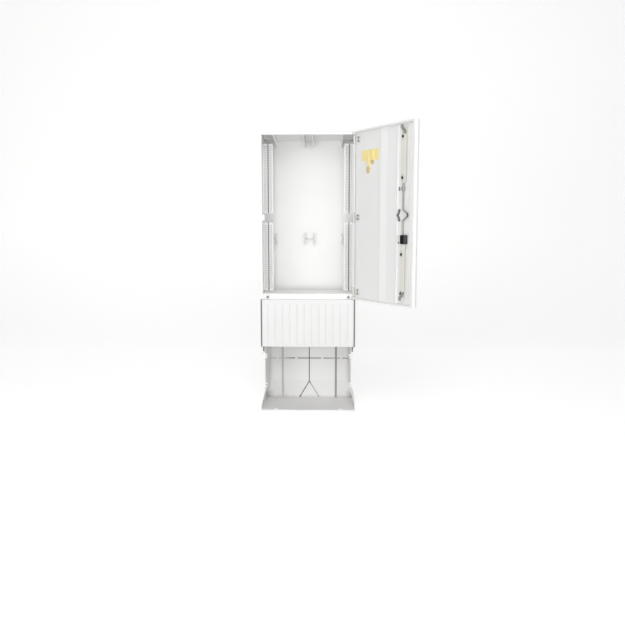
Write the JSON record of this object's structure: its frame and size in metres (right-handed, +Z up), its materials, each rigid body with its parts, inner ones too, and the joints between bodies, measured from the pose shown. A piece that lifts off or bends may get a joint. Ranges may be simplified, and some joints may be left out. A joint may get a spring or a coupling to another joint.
{
  "type": "distribution pillar",
  "caption": "Tall pale distribution pillar with an open ribbed door, sliding bar lock, toothed mounting rails, ribbed lower cover and a flared base open at the front.",
  "frame": {"origin": "on the ground, under the middle of the housing's width and depth", "axes": "+Z up, -Y towards the front that the door closes, +X towards the hinge side"},
  "size_m": [0.9132, 0.8174, 1.7474],
  "materials": {
    "housing_shell": "smooth pressed glass-fibre polyester, satin",
    "clip_plastic": "moulded polyester, satin",
    "rail_plastic": "moulded polyester, satin",
    "cover_shell": "pressed polyester with ribs, satin",
    "door_shell": "pressed polyester, satin",
    "base_shell": "pressed polyester, satin, a little greyer",
    "seal_rubber": "matt",
    "hinge_metal": "die cast, matt",
    "fastener_steel": "zinc plated",
    "bar_zinc": "yellow-passivated zinc, satin",
    "rod_steel": "dull zinc",
    "lock_black": "black moulded plastic",
    "handle_black": "black moulded plastic",
    "cam_steel": "zinc plated",
    "tape_yellow": "pale translucent tape",
    "key_brass": "dull"
  },
  "bodies": {
    "housing": {"side_wall_left": "housing_shell", "side_wall_right": "housing_shell", "rear_wall": "housing_shell", "roof": "housing_shell", "floor_tray": "housing_shell", "centring_block": "housing_shell", "roof_keeper": "housing_shell", "panel_clip_left": "clip_plastic", "panel_clip_centre": "clip_plastic", "panel_clip_right": "clip_plastic", "upper_rail_left": "rail_plastic", "upper_rail_right": "rail_plastic", "lower_rail_left": "rail_plastic", "lower_rail_right": "rail_plastic", "ribbed_cover": "cover_shell", "base_side_left": "base_shell", "base_side_right": "base_shell", "base_rear_wall": "base_shell", "base_floor": "base_shell", "cover_seal_left": "seal_rubber", "cover_seal_right": "seal_rubber", "lower_hinge_bracket": "hinge_metal", "middle_hinge_bracket": "hinge_metal", "upper_hinge_bracket": "hinge_metal", "lower_hinge_pin": "fastener_steel", "middle_hinge_pin": "fastener_steel", "upper_hinge_pin": "fastener_steel", "bracket_screws": "fastener_steel", "cover_screws": "fastener_steel", "base_bolts": "fastener_steel"},
    "door": {"door_panel": "door_shell", "lower_hinge_leaf": "hinge_metal", "middle_hinge_leaf": "hinge_metal", "upper_hinge_leaf": "hinge_metal", "leaf_screws": "fastener_steel", "guide_bolts": "lock_black", "lock_case": "lock_black", "lock_flange": "bar_zinc", "rod_guide": "clip_plastic", "middle_buffer": "lock_black", "handle_plate": "handle_black", "lock_cylinder": "cam_steel", "key_tape": "tape_yellow", "door_key": "key_brass", "spare_key": "key_brass"},
    "handle": {"lock_handle": "handle_black", "lock_cam": "cam_steel"},
    "upper_lock_bar": {"upper_bar": "bar_zinc", "upper_rod": "rod_steel", "upper_hook": "rod_steel"},
    "lower_lock_bar": {"lower_bar": "bar_zinc", "lower_hook": "rod_steel"}
  },
  "joints": [
    {"name": "door_swing", "type": "hinge", "parent": "housing", "child": "door", "pos_m": [0.2822, -0.173, 0], "axis": [0, 0, 1], "range_deg": [-124, 11]},
    {"name": "handle_turn", "type": "hinge", "parent": "door", "child": "handle", "pos_m": [0.54838, -0.56762, 1.097], "axis": [0.829, 0.5592, 0], "range_deg": [0, 90]},
    {"name": "upper_bar_slide", "type": "slide", "parent": "door", "child": "upper_lock_bar", "axis": [0, 0, 1], "range_m": [0, 0.014]},
    {"name": "lower_bar_slide", "type": "slide", "parent": "door", "child": "lower_lock_bar", "axis": [0, 0, -1], "range_m": [0, 0.0141]}
  ],
  "couplings": [
    {"joint": "handle_turn", "follows": "upper_bar_slide", "rad_per_m": 112.19},
    {"joint": "lower_bar_slide", "follows": "upper_bar_slide", "ratio": 1}
  ]
}
